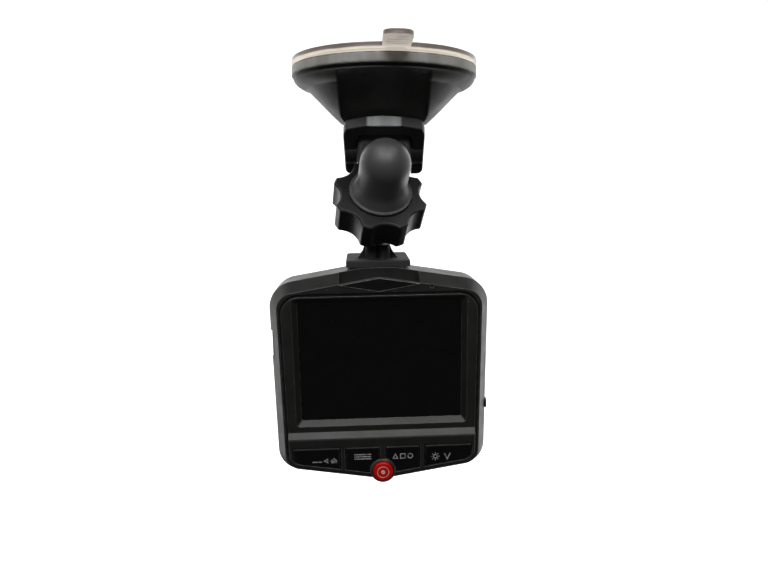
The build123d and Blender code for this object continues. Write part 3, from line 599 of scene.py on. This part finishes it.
# Painted highlight: the lever's end face is painted pale grey with streaks, standing in for the light it
# reflects.
END_FACE_HIGHLIGHT = (LEVER_FACE, LEVER_HIGHLIGHT_START, 0.1 * MM, (0.50, 0.51, 0.525), (0.72, 0.73, 0.74))
lever_black = moulded("lever_black", (0.010, 0.010, 0.0112), (0.014, 0.014, 0.0155), 0.42, 0.14 * MM, 0.012 * MM,
                      (0.16, 0.162, 0.17), 0.3 * MM, pale=END_FACE_HIGHLIGHT)
neck_black = moulded("neck_black", (0.018, 0.018, 0.0172), (0.025, 0.025, 0.024), 0.70, 0.14 * MM, 0.012 * MM,
                     (0.12, 0.12, 0.115), 0.25 * MM)
nut_black = moulded("nut_black", (0.006, 0.006, 0.0055), (0.009, 0.009, 0.0085), 0.42, 0.14 * MM, 0.010 * MM,
                    (0.12, 0.12, 0.115), 0.3 * MM)
key_black = moulded("key_black", (0.003, 0.003, 0.003), (0.0045, 0.0045, 0.0045), 0.34, 0.09 * MM, 0.006 * MM,
                    (0.14, 0.14, 0.14), 0.12 * MM, shine=0.15)
gloss_black = glossy("gloss_black", (0.004, 0.004, 0.0042), (0.006, 0.006, 0.0062), 0.12,
                     (0.75, 0.75, 0.73), 0.4)
screen = glossy("screen_glass", (0.0015, 0.0015, 0.0016), (0.0025, 0.0022, 0.0022), 0.05,
                (0.02, 0.02, 0.02), 0.3)
lens_black = glossy("lens_black", (0.006, 0.006, 0.0062), (0.009, 0.009, 0.0095), 0.16,
                    (0.07, 0.07, 0.075), 0.3)
ir_dark = glossy("ir_window", (0.010, 0.002, 0.003), (0.016, 0.003, 0.004), 0.06, (0.06, 0.03, 0.03), 0.8)
module = moulded("module_grey", (0.14, 0.14, 0.145), (0.19, 0.19, 0.195), 0.4, 0.2 * MM, 0.008 * MM,
                 (0.3, 0.3, 0.3))
card = moulded("card_black", (0.012, 0.012, 0.013), (0.02, 0.02, 0.021), 0.34, 0.1 * MM, 0.006 * MM,
               (0.12, 0.12, 0.12))
clear_led = glossy("led_clear", (0.55, 0.55, 0.58), (0.68, 0.68, 0.70), 0.08, (0.8, 0.8, 0.8), 0.8)
steel = metal("steel", (0.62, 0.62, 0.63), (0.45, 0.45, 0.47), 0.28)
foil = metal("battery_foil", (0.58, 0.58, 0.60), (0.48, 0.48, 0.50), 0.4)
black_zinc = metal("black_zinc", (0.10, 0.10, 0.105), (0.05, 0.05, 0.055), 0.35)
board = circuit("circuit_green")
red = red_key()
ink = ink_and_highlight_line("print_grey", (0.42, 0.42, 0.42), (0.13, 0.13, 0.13))
# Painted highlight: the pale line round the gloss facet, not ink.
edge_highlight_grey = ink_and_highlight_line("edge_highlight_grey", (0.15, 0.148, 0.14), (0.09, 0.088, 0.08))
ink_white = ink_and_highlight_line("print_white", (0.72, 0.56, 0.53), (0.50, 0.24, 0.22))
lens = coated_glass()

LOOKS = {
    mount: ["suction_pad", "plunger_shaft", "pivot_ball"],
    dome_black: ["suction_dome"],
    lever_black: ["cam_lever"],
    neck_black: ["neck_plate"],
    arm_black: ["mount_arm"],
    nut_black: ["clamp_nut"],
    case: ["rear_shell", "front_shell", "rear_fascia"],
    key_black: ["button_left", "button_menu", "button_mode", "button_right", "power_button"],
    gloss_black: ["diamond_insert"],
    screen: ["lcd_window"],
    lens_black: ["lens_barrel", "lens_ring"],
    ir_dark: ["ir_window_left", "ir_window_right"],
    module: ["lcd_panel", "image_sensor"],
    card: ["memory_card"],
    clear_led: ["ir_leds"],
    steel: ["lever_pin", "speaker", "microphone", "usb_socket", "card_socket", "tact_switches"],
    foil: ["battery"],
    black_zinc: ["case_screws"],
    board: ["main_board", "sensor_board"],
    red: ["ok_button"],
    lens: ["lens_glass"],
}
for material, names in LOOKS.items():
    for node in names:
        mesh = NODES[node].data
        mesh.materials.clear()
        mesh.materials.append(material)

pad = suction_pad(soft_pad())
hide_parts("suction_pad")
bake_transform(pad)
diamond_edge_highlight(edge_highlight_grey)
key_mark("mark_back", "button_left", (3.0, -4.0), draw_back, ink)
key_mark("mark_menu", "button_menu", (0.0, -3.0), draw_menu, ink)
key_mark("mark_mode", "button_mode", (0.0, -3.2), draw_mode, ink)
key_mark("mark_light", "button_right", (-1.9, -3.7), draw_light, ink)
ok_mark(ink_white)


# ---------------- camera, floor and light ----------------

FLOOR_Z = -0.26
BACK_Y = 0.9
SWEEP_R = 0.5
CENTRE = Vector((0, 0, -0.065))
CAMERA_AT = (0.0, -0.1917, -0.03464)
CAMERA_TILT = math.radians(79.5)
CAMERA_LENS = 28.125          # millimetres, on a 36 mm sensor


def sweep_floor(material):
    """Floor that curves up into a backdrop."""
    profile = [(-1.6, FLOOR_Z), (BACK_Y - SWEEP_R, FLOOR_Z)]
    profile += [(BACK_Y - SWEEP_R + SWEEP_R * math.sin(a), FLOOR_Z + SWEEP_R - SWEEP_R * math.cos(a))
                for a in (math.pi / 2 * k / 24 for k in range(1, 25))]
    profile += [(BACK_Y, 2.2)]
    bm = bmesh.new()
    rows = [[bm.verts.new((x, y, z)) for x in (-2.5, 2.5)] for y, z in profile]
    for first, second in zip(rows, rows[1:]):
        bm.faces.new((first[0], first[1], second[1], second[0]))
    mesh = bpy.data.meshes.new("floor")
    bm.to_mesh(mesh)
    bm.free()
    for face in mesh.polygons:
        face.use_smooth = True
    mesh.materials.append(material)
    floor = bpy.data.objects.new("floor", mesh)
    bpy.context.scene.collection.objects.link(floor)
    floor.visible_glossy = False
    floor.visible_diffuse = False


def softbox(name, direction, distance, size, glow):
    """A rectangular light that faces the object; glow is how bright its face is, with white paper at 1."""
    light = bpy.data.lights.new(name, "AREA")
    light.shape = "RECTANGLE"
    light.size, light.size_y = size
    light.energy = glow * math.pi * size[0] * size[1]
    lamp = bpy.data.objects.new(name, light)
    lamp.location = CENTRE + Vector(direction).normalized() * distance
    lamp.rotation_euler = (CENTRE - lamp.location).to_track_quat("-Z", "Y").to_euler()
    lamp.visible_camera = False
    bpy.context.scene.collection.objects.link(lamp)


def studio_world(seen, around):
    """White where it is seen directly, and dim as a source of light."""
    world = bpy.data.worlds.new("studio")
    world.use_nodes = True
    tree = world.node_tree
    back = tree.nodes["Background"]
    back.inputs["Color"].default_value = (*around, 1.0)
    front = tree.nodes.new("ShaderNodeBackground")
    front.inputs["Color"].default_value = (*seen, 1.0)
    path = tree.nodes.new("ShaderNodeLightPath")
    mix = tree.nodes.new("ShaderNodeMixShader")
    tree.links.new(path.outputs["Is Camera Ray"], mix.inputs["Fac"])
    tree.links.new(back.outputs["Background"], mix.inputs[1])
    tree.links.new(front.outputs["Background"], mix.inputs[2])
    tree.links.new(mix.outputs["Shader"], tree.nodes["World Output"].inputs["Surface"])
    bpy.context.scene.world = world


sweep_floor(white_studio("studio_white", (0.92, 0.92, 0.92)))
softbox("window", (-0.05, -1.0, 0.72), 1.0, (1.1, 0.45), 3.3)
softbox("left_wall", (-1.0, 0.8, 0.0), 1.0, (1.2, 1.4), 0.8)
softbox("right_wall", (1.0, 0.8, 0.0), 1.0, (1.2, 1.4), 0.8)
softbox("back_wall", (0.0, 1.0, 0.05), 0.85, (1.8, 1.4), 1.2)
softbox("ceiling", (0.0, -0.38, 1.0), 1.0, (1.5, 0.9), 1.9)
studio_world((1.0, 1.0, 1.0), (0.04, 0.04, 0.04))
bpy.context.scene.view_settings.view_transform = "Standard"

camera_data = bpy.data.cameras.new("camera")
camera_data.sensor_width = 36.0
camera_data.lens = CAMERA_LENS
camera_data.clip_start = 0.005
camera = bpy.data.objects.new("camera", camera_data)
camera.location = CAMERA_AT
camera.rotation_euler = (CAMERA_TILT, 0, 0)
bpy.context.scene.collection.objects.link(camera)
bpy.context.scene.camera = camera
